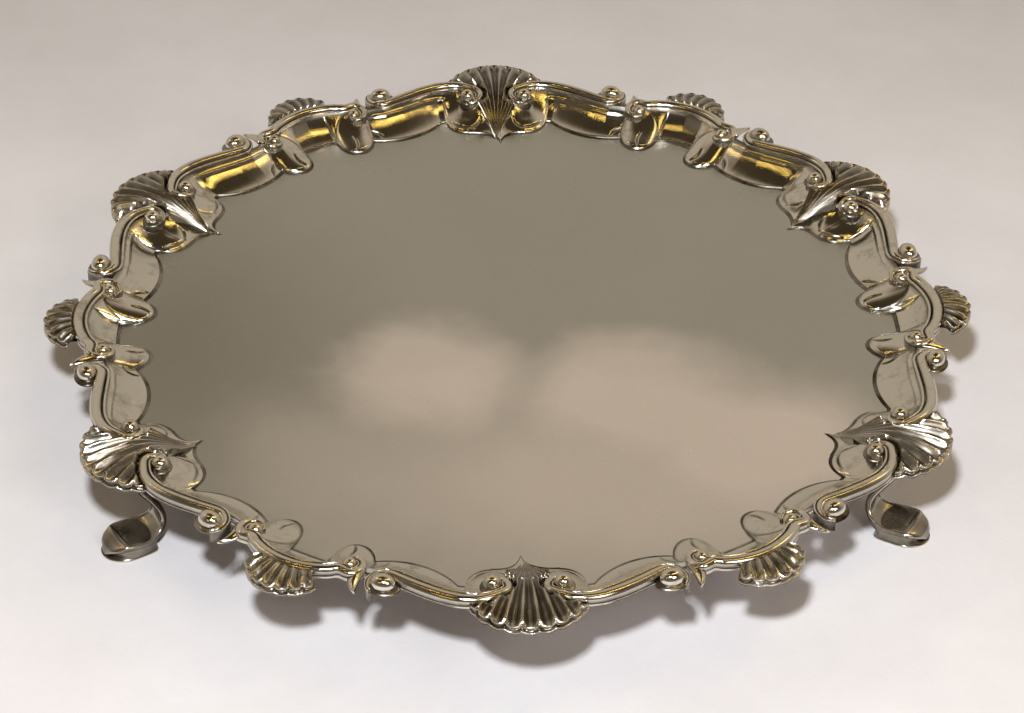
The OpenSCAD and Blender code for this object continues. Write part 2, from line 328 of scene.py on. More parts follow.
def band_rule(u, v):
    t = -30 + 60 * u
    phi, side = 30 - abs(t), (1 if t > 0 else -1)
    inner, outer = inner_edge(phi, side), outer_edge(phi)
    if v <= TOP_ENDS:
        r = inner + (outer - inner) * between(v / TOP_ENDS, [(0, 0), DENSE, (1, 1)])
        z, dirt_and_shade = band_height(phi, r, side), band_dirt_and_shade(phi, r, side)
    else:
        g = (v - TOP_ENDS) / (1 - TOP_ENDS)
        r = outer + (inner - outer) * smooth_step(g)
        under = max(0.0, band_height(phi, r, side) - BAND_WALL) if r > PLATE_REACH else 0.0
        turned_under = smooth_step(g * 6)
        z = under * turned_under + band_height(phi, outer, side) * (1 - turned_under)
        dirt_and_shade = BELOW_DIRT
    x, y = at_compass(t, r)
    return x, y, WELL + z, dirt_and_shade


band = bend_grid(440, 100, band_rule)
close_up(band)
for i, compass in enumerate(SMALL_AXES, 1):
    set_copy(band, f"border_band_piece_{i}", compass, f"border_band_{i}", "border_silver")
print("border band:", len(band.faces), "faces each")

# %% [markdown]
# ## The scroll mouldings
# The outer rim is a moulding: a big half round, a fillet, a deep groove and a fine reed inside it. It
# runs along curves that curl up at their ends round a bead, getting thinner as they curl. The section is
# drawn once, and a grid carries it along a path: one way across the grid goes round the section, the
# other along the path.

# %% Section of the moulding
def arc_points(cx, cz, r, a0, a1, n):
    angles = np.radians(np.linspace(a0, a1, n))
    return [(cx + r * math.cos(a), cz + r * math.sin(a)) for a in angles]


# each run of the section: its points (across, below the crest), and how dark each point is painted
REED_RUN = (arc_points(-1.85, -1.35, 0.44, 200, -10, 9), [0.4, 0.05, 0, 0, 0, 0, 0.05, 0.4, 0.8])
# painted shade: from the half round's lower side down, the darkness is partly tarnish, partly painted shade
# for the dark reflection of the shadowed table
HALF_ROUND_RUN = (arc_points(0.45, -1.58, 1.58, 158, -38, 15),
                  [0.75, 0.3, 0.05, 0, 0, 0, 0, 0, 0.05, 0.15, 0.3, 0.5, 0.7, 0.85, 1])
FILLET_RUN = (arc_points(1.68, -2.93, 0.32, 50, -70, 5), [0.4, 0.1, 0, 0.15, 0.6])
RUNS = [([(-2.2, -3.7), (-2.3, -2.7), (-2.3, -1.85)], [0.9, 0.8, 0.6]),
        REED_RUN,
        ([(-1.34, -1.62), (-1.12, -1.62), (-1.06, -1.2)], [1, 1, 1]),
        HALF_ROUND_RUN,
        ([(1.66, -2.55), (1.9, -2.6)], [1, 0.9]),
        FILLET_RUN,
        ([(1.4, -3.4), (0.9, -3.8), (-1.0, -3.9), (-2.2, -3.7)], [0.9, 0.9, 0.9, 0.9])]
SECTION = np.array([point for points, dirt_and_shade in RUNS for point in points])
SECTION_TARNISH_AND_SHADE = [share for points, dirt_and_shade in RUNS for share in dirt_and_shade]
FLANK = -2.8         # below this the section keeps its depth where the moulding gets thinner
print("points round the moulding:", len(SECTION))


def moulding(path, steps):
    """path rows: x, y, crest height, size."""
    rows = curve_through(path, steps)
    head = np.gradient(rows[:, :2], axis=0)
    head /= np.linalg.norm(head, axis=1)[:, None]

    def rule(u, v):
        i, j = round(u * steps), round(v * (len(SECTION) - 1))
        x, y, crest, size = rows[i]
        out, up = SECTION[j]
        up = up * size if up > FLANK else min(up, FLANK * size - 0.2)
        out *= size
        return x - head[i][1] * out, y + head[i][0] * out, crest + up, SECTION_TARNISH_AND_SHADE[j]

    bm = bend_grid(steps, len(SECTION) - 1, rule)
    close_up(bm)
    return bm


def round_about(centre, turns):
    """Path rows set round a bead, from rows of angle, distance, crest over the well, and size."""
    rows = []
    for angle, distance, z, size in turns:
        a = math.radians(angle)
        x, y = centre[0] + distance * math.cos(a), centre[1] + distance * math.sin(a)
        rows.append((x, y, WELL + z, size))
    return rows


# width, height and drop of the bead and of its seat, in bead radii, and how dark each is
BEAD_AND_SEAT = [(1, 1, 0, 0), (1.38, 0.4, 0.5, 1)]


def add_bead(bm, centre, z, size, squash=(1, 1, 1), turn=0):
    """A bead in a shallow dark seat, as cast with the moulding."""
    tarnish_and_shade = bm.verts.layers.float["tarnish_and_shade"]
    for v in bm.verts:
        near = math.hypot(v.co.x / MM - centre[0], v.co.y / MM - centre[1])
        low = smooth_step((WELL + z + 0.3 - v.co.z / MM) / 1.2)
        v[tarnish_and_shade] = max(v[tarnish_and_shade], low * (1 - smooth_step((near - size - 0.7) / 0.8)))
    middle = Matrix.Translation(Vector((centre[0], centre[1], WELL + z)) * MM)
    place = middle @ Matrix.Rotation(math.radians(turn), 4, "Z")
    for wide, tall, drop, dirt_and_shade in BEAD_AND_SEAT:
        lower = Matrix.Translation((0, 0, -size * drop * MM))
        shape = Matrix.Diagonal((squash[0] * wide, squash[1] * wide, squash[2] * tall, 1))
        made = bmesh.ops.create_uvsphere(bm, u_segments=28, v_segments=18, radius=size * MM,
                                         matrix=place @ lower @ shape)
        for v in made["verts"]:
            below = WELL + z - 0.15 * size - v.co.z / MM
            v[tarnish_and_shade] = max(dirt_and_shade, 0.9 * smooth_step(below / (0.5 * size)))


print("moulding helpers ready")

# %% [markdown]
# ## The side scrolls
# On each side of a large shell a scroll starts in an eye with a bead in it, bows out over the shell's
# shoulder, runs down to the middle of the border and hooks outward round a second, oval ball.

# %% Side scroll master and its twelve copies
EYE = (9.0, 115.2)
BALL = (36.6, 114.9)
EASED = CREST - 0.1      # where a scroll starts to sink toward its end
eye_turns = [(300, 1.9, 5.6, 0.30), (262, 2.5, 6.0, 0.38), (222, 3.1, 6.5, 0.47), (182, 3.7, 7.0, 0.56),
             (146, 4.3, 7.4, 0.66)]
shoulder = [(8.4, 119.6, EASED, 0.76), (12.4, 120.9, CREST, 0.88), (17.4, 120.5, CREST, 0.98),
            (23.0, 118.2, CREST, 1.04), (29.0, 114.6, EASED, 1.02)]
ball_turns = [(238, 4.4, 7.6, 0.90), (270, 4.15, 7.4, 0.74), (302, 4.0, 7.2, 0.58), (335, 3.9, 7.0, 0.45),
              (5, 3.85, 6.8, 0.34), (28, 3.8, 6.6, 0.24)]
side_path = round_about(EYE, eye_turns) + shoulder + round_about(BALL, ball_turns)
side_scroll = moulding(side_path, 150)
add_bead(side_scroll, EYE, 6.3, 2.35)
add_bead(side_scroll, BALL, 6.8, 2.75, (1.22, 0.95, 0.95), -18)
for i, compass in enumerate(LARGE_AXES, 1):
    for hand in ("right", "left"):
        set_copy(side_scroll, f"side_scroll_{hand}_piece_{i}", compass, f"side_scroll_{hand}_{i}",
                 "scroll_silver", flip=hand == "left")
print("side scroll:", len(side_scroll.faces), "faces each")

# %% [markdown]
# ## The long scrolls
# A long scroll arches over each small shell and curls inward round a bead at both ends. A short pointed
# leaf breaks out behind each curl.

# %% Long scroll master and its six copies
CURL = (14.1, 114.3)
ARCH_Y, ARCH_R = 99.9, 21.9
arch_turns = [(8, 1.0), (18, 1.0), (28, 0.97), (36, 0.9)]      # degrees from the middle, size
curl_turns = [(58, 3.9, 7.5, 0.78), (25, 3.7, 7.2, 0.68), (-10, 3.4, 6.9, 0.58), (-50, 3.1, 6.5, 0.48),
              (-95, 2.7, 6.1, 0.38), (-140, 2.2, 5.7, 0.28)]


def half_of_long(side):
    arch = []
    for angle, size in arch_turns:
        x, y = at_compass(angle, ARCH_R)
        arch.append((x * side, ARCH_Y + y, CREST, size))
    turns = [(a if side > 0 else 180 - a, distance, z, size) for a, distance, z, size in curl_turns]
    return arch + round_about((CURL[0] * side, CURL[1]), turns)


long_path = half_of_long(-1)[::-1] + [(0, ARCH_Y + ARCH_R, CREST, 1.0)] + half_of_long(1)
long_scroll = moulding(long_path, 190)
for side in (-1, 1):
    add_bead(long_scroll, (CURL[0] * side, CURL[1]), 5.5, 1.95)


def leaf(side):
    """A short pointed leaf with a ridge down its middle."""
    base, tip = Vector((17.6 * side, 115.6)), Vector((20.3 * side, 122.9))
    along = tip - base
    across = Vector((-along.y, along.x)).normalized()

    def rule(u, v):
        a = 2 * math.pi * v
        half = 1.9 * (1 - u**2)**0.8 + 0.02
        bow = 0.9 * math.sin(math.pi * u) * side
        p = base + along * u + across * (half * math.cos(a) + bow)
        ridge = 0.45 * (1 - abs(math.cos(a))) if math.sin(a) > 0 else 0
        z = 6.0 - 1.2 * u + 0.75 * math.sin(a) * (1 - 0.7 * u) + ridge
        return p.x, p.y, WELL + z, 0.75 * smooth_step(-math.sin(a) * 2 + 0.6)

    bm = bend_grid(16, 20, rule)
    close_up(bm)
    return bm


for side in (-1, 1):
    tip = leaf(side)
    scratch = bpy.data.meshes.new("leaf_scratch")
    tip.to_mesh(scratch)
    long_scroll.from_mesh(scratch)
    bpy.data.meshes.remove(scratch)
bmesh.ops.recalc_face_normals(long_scroll, faces=long_scroll.faces)
for i, compass in enumerate(SMALL_AXES, 1):
    set_copy(long_scroll, f"long_scroll_piece_{i}", compass, f"long_scroll_{i}", "scroll_silver")
print("long scroll:", len(long_scroll.faces), "faces each")

# %% [markdown]
# ## The shells
# A cast scallop shell: hollow flutes with sharp ridges between them fan out from a narrow neck, each
# ending in a round lobe with a thin turned-up lip, and a plain backing shows as a second edge below. The
# flutes curve out from the neck to the rim, and the part that would run through a scroll is sunk below it.

# %% Fan a grid into a shell
side_rows = curve_through(side_path, 90)[:, :2]
long_rows = curve_through(long_path, 90)[:, :2]


TOP_SHARE, RIM_SHARE = 0.66, 0.62      # the top's share of the grid, and the rim's share of what is left
LOBE_ROUND, LIP, BACKING = 1.6, 0.7, 0.15
HEIGHTS_AT = [0, 0.14, 0.28, 0.42, 0.6, 0.8, 0.92, 1]      # from neck to rim
# round the rim, from the top to the underside: how far out past the lobe's edge, and how far down
RIM_OUT = [(0, 0), (0.1, 0.22), (0.2, 0.2), (0.32, -0.7), (0.42, -0.6), (0.54, 0), (1, 0)]
RIM_DOWN = [(0, 0), (0.1, 0.2), (0.2, 0.55), (0.32, 0.85), (0.42, 1.1), (0.54, 1.35), (RIM_SHARE, 2.1),
            (1, 1.8)]


def rim_dirt(drop):
    """The rim is bright, the groove below it dark, the backing's edge bright and the underside dull."""
    if drop < 0.3 or 1.05 <= drop < 1.4:
        return 0.1
    return 1.0 if drop < 1.05 else 0.8


def shell(neck, waist, focus_y, half_angle, reach, side_loss, flutes, heights, hollow, edge_drop, sink):
    """neck and waist: (half width, y) that the flutes run through on their way out to the rim."""
    profile = curve_through(list(zip(HEIGHTS_AT, heights)), 120)

    def rule(u, v):
        w = 2 * u - 1
        th = math.radians(half_angle * w)
        p = (u * flutes) % 1.0 if u < 1 else 1.0
        ridge = (2 * p - 1)**2
        far = reach - side_loss * w**2
        lobe = far - LOBE_ROUND * (1 - math.sqrt(max(0.0, 1 - 0.97 * ridge)))
        over = v <= TOP_SHARE
        s, q, drop = v / TOP_SHARE, lobe, 0.0
        if not over:
            g = (v - TOP_SHARE) / (1 - TOP_SHARE)
            s = 1 - max(0.0, g - RIM_SHARE) / (1 - RIM_SHARE)
            q = lobe + between(g, RIM_OUT) + (far + BACKING - lobe) * smooth_step((g - 0.42) / 0.1)
            drop = between(g, RIM_DOWN)
        a, b, c = (1 - s)**2, 2 * s * (1 - s), s * s
        x = a * neck[0] * w + b * waist[0] * w + c * q * math.sin(th)
        y = a * neck[1] + b * waist[1] + c * (focus_y + q * math.cos(th))
        fall = (edge_drop * min(1.0, s / 0.1) + 0.3 * s) * w**2
        flute = hollow * s**1.5 * (ridge**0.8 - 0.45)
        z = float(np.interp(s, profile[:, 0], profile[:, 1])) - fall + flute * (1 if over else 0.25)
        if over:
            lip = smooth_step((s - 0.92) / 0.08) * (1 - ridge)
            z += LIP * lip
            dirt_and_shade = 0.2 + (0.35 + 0.4 * s) * (1 - ridge)**1.3 * (1 - lip)
        else:
            z += (LIP * (1 - ridge) if drop < 1 else 0) - drop
            dirt_and_shade = rim_dirt(drop)
        return x, y, WELL + sink(x, y, z), dirt_and_shade

    bm = bend_grid(flutes * 12, 84, rule)
    close_up(bm)
    return bm


def gap_to(rows, x, y):
    return float(np.min(np.hypot(rows[:, 0] - abs(x), rows[:, 1] - y)))


def sink_by_side_scroll(x, y, z):
    clear = smooth_step((gap_to(side_rows, x, y) - 1.6) / 1.2)
    if math.hypot(abs(x) - EYE[0], y - EYE[1]) < 4.4:
        clear = 0.0
    return min(z, 4.4 + 4.5 * clear) if z > 4.2 else z


def sink_by_long_scroll(x, y, z):
    clear = smooth_step((gap_to(long_rows, x, y) - 1.5) / 1.0)
    if math.hypot(x, y - ARCH_Y) < ARCH_R + 0.6:
        clear = 0.0
    return min(z, 3.6 + 5 * clear) if z > 3.4 else z


large = shell(neck=(0.5, 100.5), waist=(3.0, 110.0), focus_y=112.0, half_angle=57, reach=20.6, side_loss=2.3,
              flutes=9, heights=(0.3, 1.4, 3.0, 5.3, 7.7, 8.3, 7.6, 6.7), hollow=2.6, edge_drop=0.12,
              sink=sink_by_side_scroll)
small = shell(neck=(4.0, 119.4), waist=(6.6, 121.5), focus_y=119.4, half_angle=62, reach=12.5, side_loss=0.8,
              flutes=7, heights=(5.4, 6.1, 6.7, 7.2, 7.5, 7.3, 6.7, 5.9), hollow=1.5, edge_drop=0.2,
              sink=sink_by_long_scroll)
for i, compass in enumerate(LARGE_AXES, 1):
    set_copy(large, f"large_shell_piece_{i}", compass, f"large_shell_{i}", "shell_silver")
for i, compass in enumerate(SMALL_AXES, 1):
    set_copy(small, f"small_shell_piece_{i}", compass, f"small_shell_{i}", "shell_silver")
print("shells:", len(large.faces), "and", len(small.faces), "faces each")

# %% [markdown]
# ## The feet
# Each foot is a cast strap with a raised rib along both edges. It drops from under a large shell, swings
# in, and turns out into a spoon-shaped toe. The toe rests on a hoof: a low wall that follows the spoon,
# square at the heel and round at the nose.

# %% Foot strap
# the strap's middle line from the rim down to the toe: distance out, height from the well, half width
FOOT = [(120.6, 3.9, 2.4), (121.0, 0.6, 2.4), (120.2, -3.4, 2.4), (118.0, -7.8, 2.4), (115.4, -11.8, 2.5),
        (113.5, -15.6, 2.9), (113.2, -18.8, 3.7), (115.0, -21.2, 4.9), (118.6, -22.2, 6.0),
        (122.4, -21.9, 6.3), (125.4, -21.8, 5.8), (128.2, -22.9, 4.2), (129.9, -24.9, 0.8)]
FOOT_STEPS = 96
STRAP = 1.5
foot_rows = curve_through(FOOT, FOOT_STEPS)


def strap_rule(u, v):
    i = round(u * FOOT_STEPS)
    r, z, half = foot_rows[i]
    d = foot_rows[min(FOOT_STEPS, i + 1)][:2] - foot_rows[max(0, i - 1)][:2]
    d /= np.hypot(*d)
    over = v < 0.5
    w = 1 - 4 * v if over else 4 * v - 3        # +1 to -1 over the top, and back underneath
    toe = smooth_step((u - 0.55) / 0.2)
    nose = smooth_step((u - 0.86) / 0.04)
    side_rim = math.exp(-((abs(w) - 0.93) / 0.075)**2) * (1 - nose)
    cross_rim = 1.2 * math.exp(-((u - 0.872) / 0.012)**2) if abs(w) < 0.95 else 0.0
    rim = max(side_rim, cross_rim)
    thick = STRAP * math.sqrt(max(0.0, 1 - abs(w)**5))
    if over:
        dish = (0.55 + 0.9 * toe) * (1 - w * w) * (1 - nose)
        lift = thick * 0.5 - dish * 0.6 + 0.42 * rim
        dirt_and_shade = (0.5 + 0.4 * toe) * (1 - w * w)**0.4 * (1 - min(1, rim)) * (1 - 0.3 * nose)
    else:
        lift = -thick * (0.9 + 0.3 * toe)
        dirt_and_shade = 0.75
    lift *= 1 - 0.75 * smooth_step((u - 0.94) / 0.06)
    return w * half, r - d[1] * lift, WELL + z + d[0] * lift, dirt_and_shade


strap = bend_grid(FOOT_STEPS, 64, strap_rule)
close_up(strap, 0.01)
for i, compass in enumerate(FOOT_AXES, 1):
    set_copy(strap, f"foot_strap_piece_{i}", compass, f"foot_scroll_{i}", "foot_silver")
print("foot strap:", len(strap.faces), "faces each")

# %% Foot hoof
HOOF_Y = 122.6
HOOF_SIDE, HOOF_NOSE, HOOF_HEEL = 5.9, 7.3, 6.6      # how far it reaches from its middle
CORNER = 7           # the higher, the squarer the heel's corners
# up the hoof, from its foot on the table to its top: how far it grows or shrinks, its height, and its dirt
RINGS = [0, 0.05, 0.10, 0.17, 0.5, 0.8, 0.88, 1.0]
GROW = list(zip(RINGS, [-6.19, 0.25, 0.45, 0.15, -0.25, -0.5, -0.9, -6.19]))
CLIMB = list(zip(RINGS, [0, 0, 0.35, 0.8, 2.4, 4.0, 4.25, 4.3]))
HOOF_DIRT = list(zip(RINGS, [0.5, 0.2, 0, 0.8, 0.7, 0.75, 0.9, 1]))
LOWEST_BAND = 0.8    # the bright lip at the bottom, which stays level; above it the nose slopes down


def hoof_outline(a, grow):
    """Round nose outward, square heel inward, at angle a round the hoof's middle."""
    c, s = math.cos(a), math.sin(a)
    half, nose, heel = HOOF_SIDE + grow, HOOF_NOSE + grow, HOOF_HEEL + grow * 0.5
    if s >= 0:
        return half * c, nose * s
    soft = (abs(c / half)**CORNER + abs(s / heel)**CORNER)**(-1 / CORNER)
    return soft * c, soft * s


def hoof_rule(u, v):
    x, y = hoof_outline(2 * math.pi * u, between(v, GROW)) if 0 < v < 1 else (0, 0)
    nose = smooth_step((y - 1.0) / 6.0)
    z = between(v, CLIMB)
    if z > LOWEST_BAND:
        z *= 1 - 0.72 * nose
    pull = 1.0 - 0.16 * nose * smooth_step((v - 0.3) / 0.5)
    return x, HOOF_Y + y * pull, z, between(v, HOOF_DIRT)


hoof = bend_grid(96, 40, hoof_rule)
close_up(hoof, 0.01)
for i, compass in enumerate(FOOT_AXES, 1):
    set_copy(hoof, f"foot_hoof_piece_{i}", compass, f"foot_pad_{i}", "foot_silver")
print("foot hoof:", len(hoof.faces), "faces each")

# %% [markdown]
# ## Silver
# Old silver has three looks at once: a bright polish on everything that a cloth reaches, a brown-grey tarnish
# left in the recesses, and a haze of fine scratches that spreads reflections on the flat of the well. Where
# the tarnish lies was settled with each shape, as a value on each of its points, and a noise breaks it up.
# The same value also carries painted shade: the dark line on the band's flange where it meets the sheet, and
# the darker lower side of the mouldings. The scratches are a stretched noise at hair width.

# %% Node helpers
def add(tree, kind, **settings):
    node = tree.nodes.new(kind)
    for key, value in settings.items():
        if key in node.inputs:
            node.inputs[key].default_value = value
        else:
            setattr(node, key, value)
    return node


def remap(tree, low, high, to_low=0.0, to_high=1.0, **settings):
    """Turns values from low to high into values from to_low to to_high, and holds them there."""
    node = add(tree, "ShaderNodeMapRange", clamp=True, **settings)
    for socket, value in (("From Min", low), ("From Max", high), ("To Min", to_low), ("To Max", to_high)):
        node.inputs[socket].default_value = value
    return node


def new_group(name, ins, outs):
    group = bpy.data.node_groups.new(name, "ShaderNodeTree")
    for label, kind, value in ins:
        socket = group.interface.new_socket(label, in_out="INPUT", socket_type=kind)
        socket.default_value = value
    for label, kind in outs:
        group.interface.new_socket(label, in_out="OUTPUT", socket_type=kind)
    return group, add(group, "NodeGroupInput"), add(group, "NodeGroupOutput")


print("node helpers ready")

# %% Group: tarnish in the recesses, and painted shade
TARNISH_AND_SHADE_IN = [("Silver", "NodeSocketColor", (0.8, 0.77, 0.7, 1)),
              ("Tarnish_and_shade", "NodeSocketColor", (0.2, 0.16, 0.1, 1)),
              ("Amount", "NodeSocketFloat", 0.6)]
TARNISH_AND_SHADE_OUT = [("Color", "NodeSocketColor"), ("Mask", "NodeSocketFloat")]
tarnish_and_shade_group, gi, go = new_group("silver_tarnish_and_shade", TARNISH_AND_SHADE_IN, TARNISH_AND_SHADE_OUT)
tarnish_and_shade = add(tarnish_and_shade_group, "ShaderNodeAttribute", attribute_name="tarnish_and_shade")
deep = remap(tarnish_and_shade_group, 0.05, 0.85)
place = add(tarnish_and_shade_group, "ShaderNodeTexCoord")
cloud = add(tarnish_and_shade_group, "ShaderNodeTexNoise", Scale=90.0, Detail=4.0, Roughness=0.6)
spread = remap(tarnish_and_shade_group, 0.35, 0.65, 0.55)
times = add(tarnish_and_shade_group, "ShaderNodeMath", operation="MULTIPLY")
blots = add(tarnish_and_shade_group, "ShaderNodeTexNoise", Scale=160.0, Detail=5.0, Roughness=0.7)
stain = remap(tarnish_and_shade_group, 0.53, 0.72, 0.0, 0.38)
worst = add(tarnish_and_shade_group, "ShaderNodeMath", operation="MAXIMUM")
amount = add(tarnish_and_shade_group, "ShaderNodeMath", operation="MULTIPLY", use_clamp=True)
# painted shade: this mix to the dark colour paints tarnish, and also shade where the mask carries it
blend = add(tarnish_and_shade_group, "ShaderNodeMix", data_type="RGBA")
L = tarnish_and_shade_group.links.new
L(tarnish_and_shade.outputs["Fac"], deep.inputs["Value"])
L(place.outputs["Object"], cloud.inputs["Vector"])
L(cloud.outputs["Fac"], spread.inputs["Value"])
L(deep.outputs["Result"], times.inputs[0])
L(spread.outputs["Result"], times.inputs[1])
L(place.outputs["Object"], blots.inputs["Vector"])
L(blots.outputs["Fac"], stain.inputs["Value"])
L(times.outputs[0], worst.inputs[0])
L(stain.outputs["Result"], worst.inputs[1])
L(worst.outputs[0], amount.inputs[0])
L(gi.outputs["Amount"], amount.inputs[1])
L(amount.outputs[0], blend.inputs["Factor"])
L(gi.outputs["Silver"], blend.inputs["A"])
L(gi.outputs["Tarnish_and_shade"], blend.inputs["B"])
L(blend.outputs["Result"], go.inputs["Color"])
L(amount.outputs[0], go.inputs["Mask"])
print("group made:", tarnish_and_shade_group.name)

# %% Group: hairline scratches
HAIRLINE_IN = [("Scale", "NodeSocketFloat", 60.0), ("Stretch", "NodeSocketFloat", 14.0),
               ("Turn", "NodeSocketFloat", 0.4)]
hairline, gi, go = new_group("hairline_scratches", HAIRLINE_IN, [("Height", "NodeSocketFloat")])
place = add(hairline, "ShaderNodeTexCoord")
spin = add(hairline, "ShaderNodeVectorRotate", rotation_type="Z_AXIS")
pull = add(hairline, "ShaderNodeVectorMath", operation="MULTIPLY")
join = add(hairline, "ShaderNodeCombineXYZ", Y=1.0, Z=1.0)
hair = add(hairline, "ShaderNodeTexNoise", Detail=5.0, Roughness=0.7)
L = hairline.links.new
L(place.outputs["Object"], spin.inputs["Vector"])
L(gi.outputs["Turn"], spin.inputs["Angle"])
L(gi.outputs["Stretch"], join.inputs["X"])
L(spin.outputs["Vector"], pull.inputs[0])
L(join.outputs["Vector"], pull.inputs[1])
L(pull.outputs["Vector"], hair.inputs["Vector"])
L(gi.outputs["Scale"], hair.inputs["Scale"])
L(hair.outputs["Fac"], go.inputs["Height"])
print("group made:", hairline.name)

# %% Silver finishes
DULLING = 0.25       # how much rougher full tarnish is than clean metal


def silver(name, tone, dark, tarnish_and_shade_amount, roughness, hair_scale, hair_strength, wobble):
    """One finish: clean and tarnished colours, the tarnished one also painting shade where the mask carries
    it; roughness from polished to worn, scratches and slow waves.
    """
    mat = bpy.data.materials.new(name)
    mat.use_nodes = True
    tree = mat.node_tree
    tree.nodes.clear()
    L = tree.links.new
    out = add(tree, "ShaderNodeOutputMaterial")
    metal = add(tree, "ShaderNodeBsdfPrincipled", Metallic=1.0)
    tarnish_and_shade_node = add(tree, "ShaderNodeGroup", node_tree=tarnish_and_shade_group)
    tarnish_and_shade_node.inputs["Silver"].default_value = (*tone, 1)
    tarnish_and_shade_node.inputs["Tarnish_and_shade"].default_value = (*dark, 1)
    tarnish_and_shade_node.inputs["Amount"].default_value = tarnish_and_shade_amount
    hair = add(tree, "ShaderNodeGroup", node_tree=hairline)
    hair.inputs["Scale"].default_value = hair_scale
    cross = add(tree, "ShaderNodeGroup", node_tree=hairline)
    cross.inputs["Scale"].default_value = hair_scale * 0.8
    cross.inputs["Turn"].default_value = 1.9
    both = add(tree, "ShaderNodeMath", operation="ADD")
    place = add(tree, "ShaderNodeTexCoord")
    swell = add(tree, "ShaderNodeTexNoise", Scale=28.0, Detail=2.0)
    wear = remap(tree, 0.3, 0.7, *roughness)
    rough = add(tree, "ShaderNodeMath", operation="ADD", use_clamp=True)
    dull = add(tree, "ShaderNodeMath", operation="MULTIPLY")
    dull.inputs[1].default_value = DULLING
    fine = add(tree, "ShaderNodeBump", Strength=hair_strength, Distance=0.0002)
    broad = add(tree, "ShaderNodeBump", Strength=wobble, Distance=0.001)
    L(place.outputs["Object"], swell.inputs["Vector"])
    L(swell.outputs["Fac"], wear.inputs["Value"])
    L(hair.outputs["Height"], both.inputs[0])
    L(cross.outputs["Height"], both.inputs[1])
    L(both.outputs[0], fine.inputs["Height"])
    L(swell.outputs["Fac"], broad.inputs["Height"])
    L(broad.outputs["Normal"], fine.inputs["Normal"])
    L(tarnish_and_shade_node.outputs["Mask"], dull.inputs[0])
    L(wear.outputs["Result"], rough.inputs[0])
    L(dull.outputs[0], rough.inputs[1])
    L(tarnish_and_shade_node.outputs["Color"], metal.inputs["Base Color"])
    L(rough.outputs[0], metal.inputs["Roughness"])
    L(fine.outputs["Normal"], metal.inputs["Normal"])
    L(metal.outputs["BSDF"], out.inputs["Surface"])
    return mat


print("silver ready")

# %% [markdown]
# The well is duller than the border. Over its front half it has a scratched haze, painted paler and warmer in
# cloudy patches as a painted sheen that stands in for the bright reflection it catches. Toward its left its
# colour is darker, a painted shade. Both are soft oval patches with their edges stirred by a noise.

# %% Painted sheen and shade on the well
STIR = 0.034         # how far the noise pushes the edges of the patches, in metres
# each patch, in metres: x and y of the middle, half width, half depth, where its fade ends (0 to 1), strength
# painted shade: the well's left side is darkened
LEFT_SHADE = [(-0.100, -0.010, 0.075, 0.110, 0.0, 0.85)]
# hazy patches over the front, painted paler and warmer as a painted sheen for the bright reflection
HAZE_AND_SHEEN = [(0.024, -0.070, 0.102, 0.060, 0.15, 0.76), (-0.026, -0.018, 0.031, 0.028, 0.35, 0.80),
         (0.036, -0.026, 0.038, 0.027, 0.35, 0.74), (0.074, -0.054, 0.034, 0.030, 0.1, 0.75),
         (-0.060, -0.050, 0.030, 0.034, 0.1, 0.18)]
LEFT_SHADE_TONE = (0.34, 0.325, 0.28, 1)
HAZE_AND_SHEEN_TONE = (0.98, 0.89, 0.84, 1)


def soft_patches(tree, push, spots):
    """The patches added together, from 0 to 1."""
    L = tree.links.new
    total = None
    for x, y, wide, deep, soft, strong in spots:
        shape = add(tree, "ShaderNodeVectorMath", operation="MULTIPLY_ADD")
        shape.inputs[1].default_value = (1 / wide, 1 / deep, 0)
        shape.inputs[2].default_value = (-(x + STIR / 2) / wide, -(y + STIR / 2) / deep, 0)
        far = add(tree, "ShaderNodeVectorMath", operation="LENGTH")
        fade = remap(tree, 1.15, soft, 0.0, strong, interpolation_type="SMOOTHSTEP")
        L(push.outputs["Vector"], shape.inputs[0])
        L(shape.outputs["Vector"], far.inputs[0])
        L(far.outputs["Value"], fade.inputs["Value"])
        if total is None:
            total = fade.outputs["Result"]
        else:
            most = add(tree, "ShaderNodeMath", operation="ADD", use_clamp=True)
            L(total, most.inputs[0])
            L(fade.outputs["Result"], most.inputs[1])
            total = most.outputs[0]
    return total


def paint_sheen_and_shade_on_well(mat):
    tree = mat.node_tree
    L = tree.links.new
    metal = next(n for n in tree.nodes if n.type == "BSDF_PRINCIPLED")
    place = add(tree, "ShaderNodeTexCoord")
    stir = add(tree, "ShaderNodeTexNoise", Scale=24.0, Detail=3.5, Roughness=0.55)
    push = add(tree, "ShaderNodeVectorMath", operation="MULTIPLY_ADD")
    push.inputs[1].default_value = (STIR, STIR, 0)
    L(place.outputs["Object"], stir.inputs["Vector"])
    L(stir.outputs["Color"], push.inputs[0])
    L(place.outputs["Object"], push.inputs[2])
    colour = metal.inputs["Base Color"].links[0].from_socket
    # these mixes paint the shade on the left and the sheen over the front into the well's colour
    for spots, shade in ((LEFT_SHADE, LEFT_SHADE_TONE), (HAZE_AND_SHEEN, HAZE_AND_SHEEN_TONE)):
        mask = soft_patches(tree, push, spots)
        tone = add(tree, "ShaderNodeMix", data_type="RGBA")
        tone.inputs["B"].default_value = shade
        L(mask, tone.inputs["Factor"])
        L(colour, tone.inputs["A"])
        colour = tone.outputs["Result"]
    L(colour, metal.inputs["Base Color"])


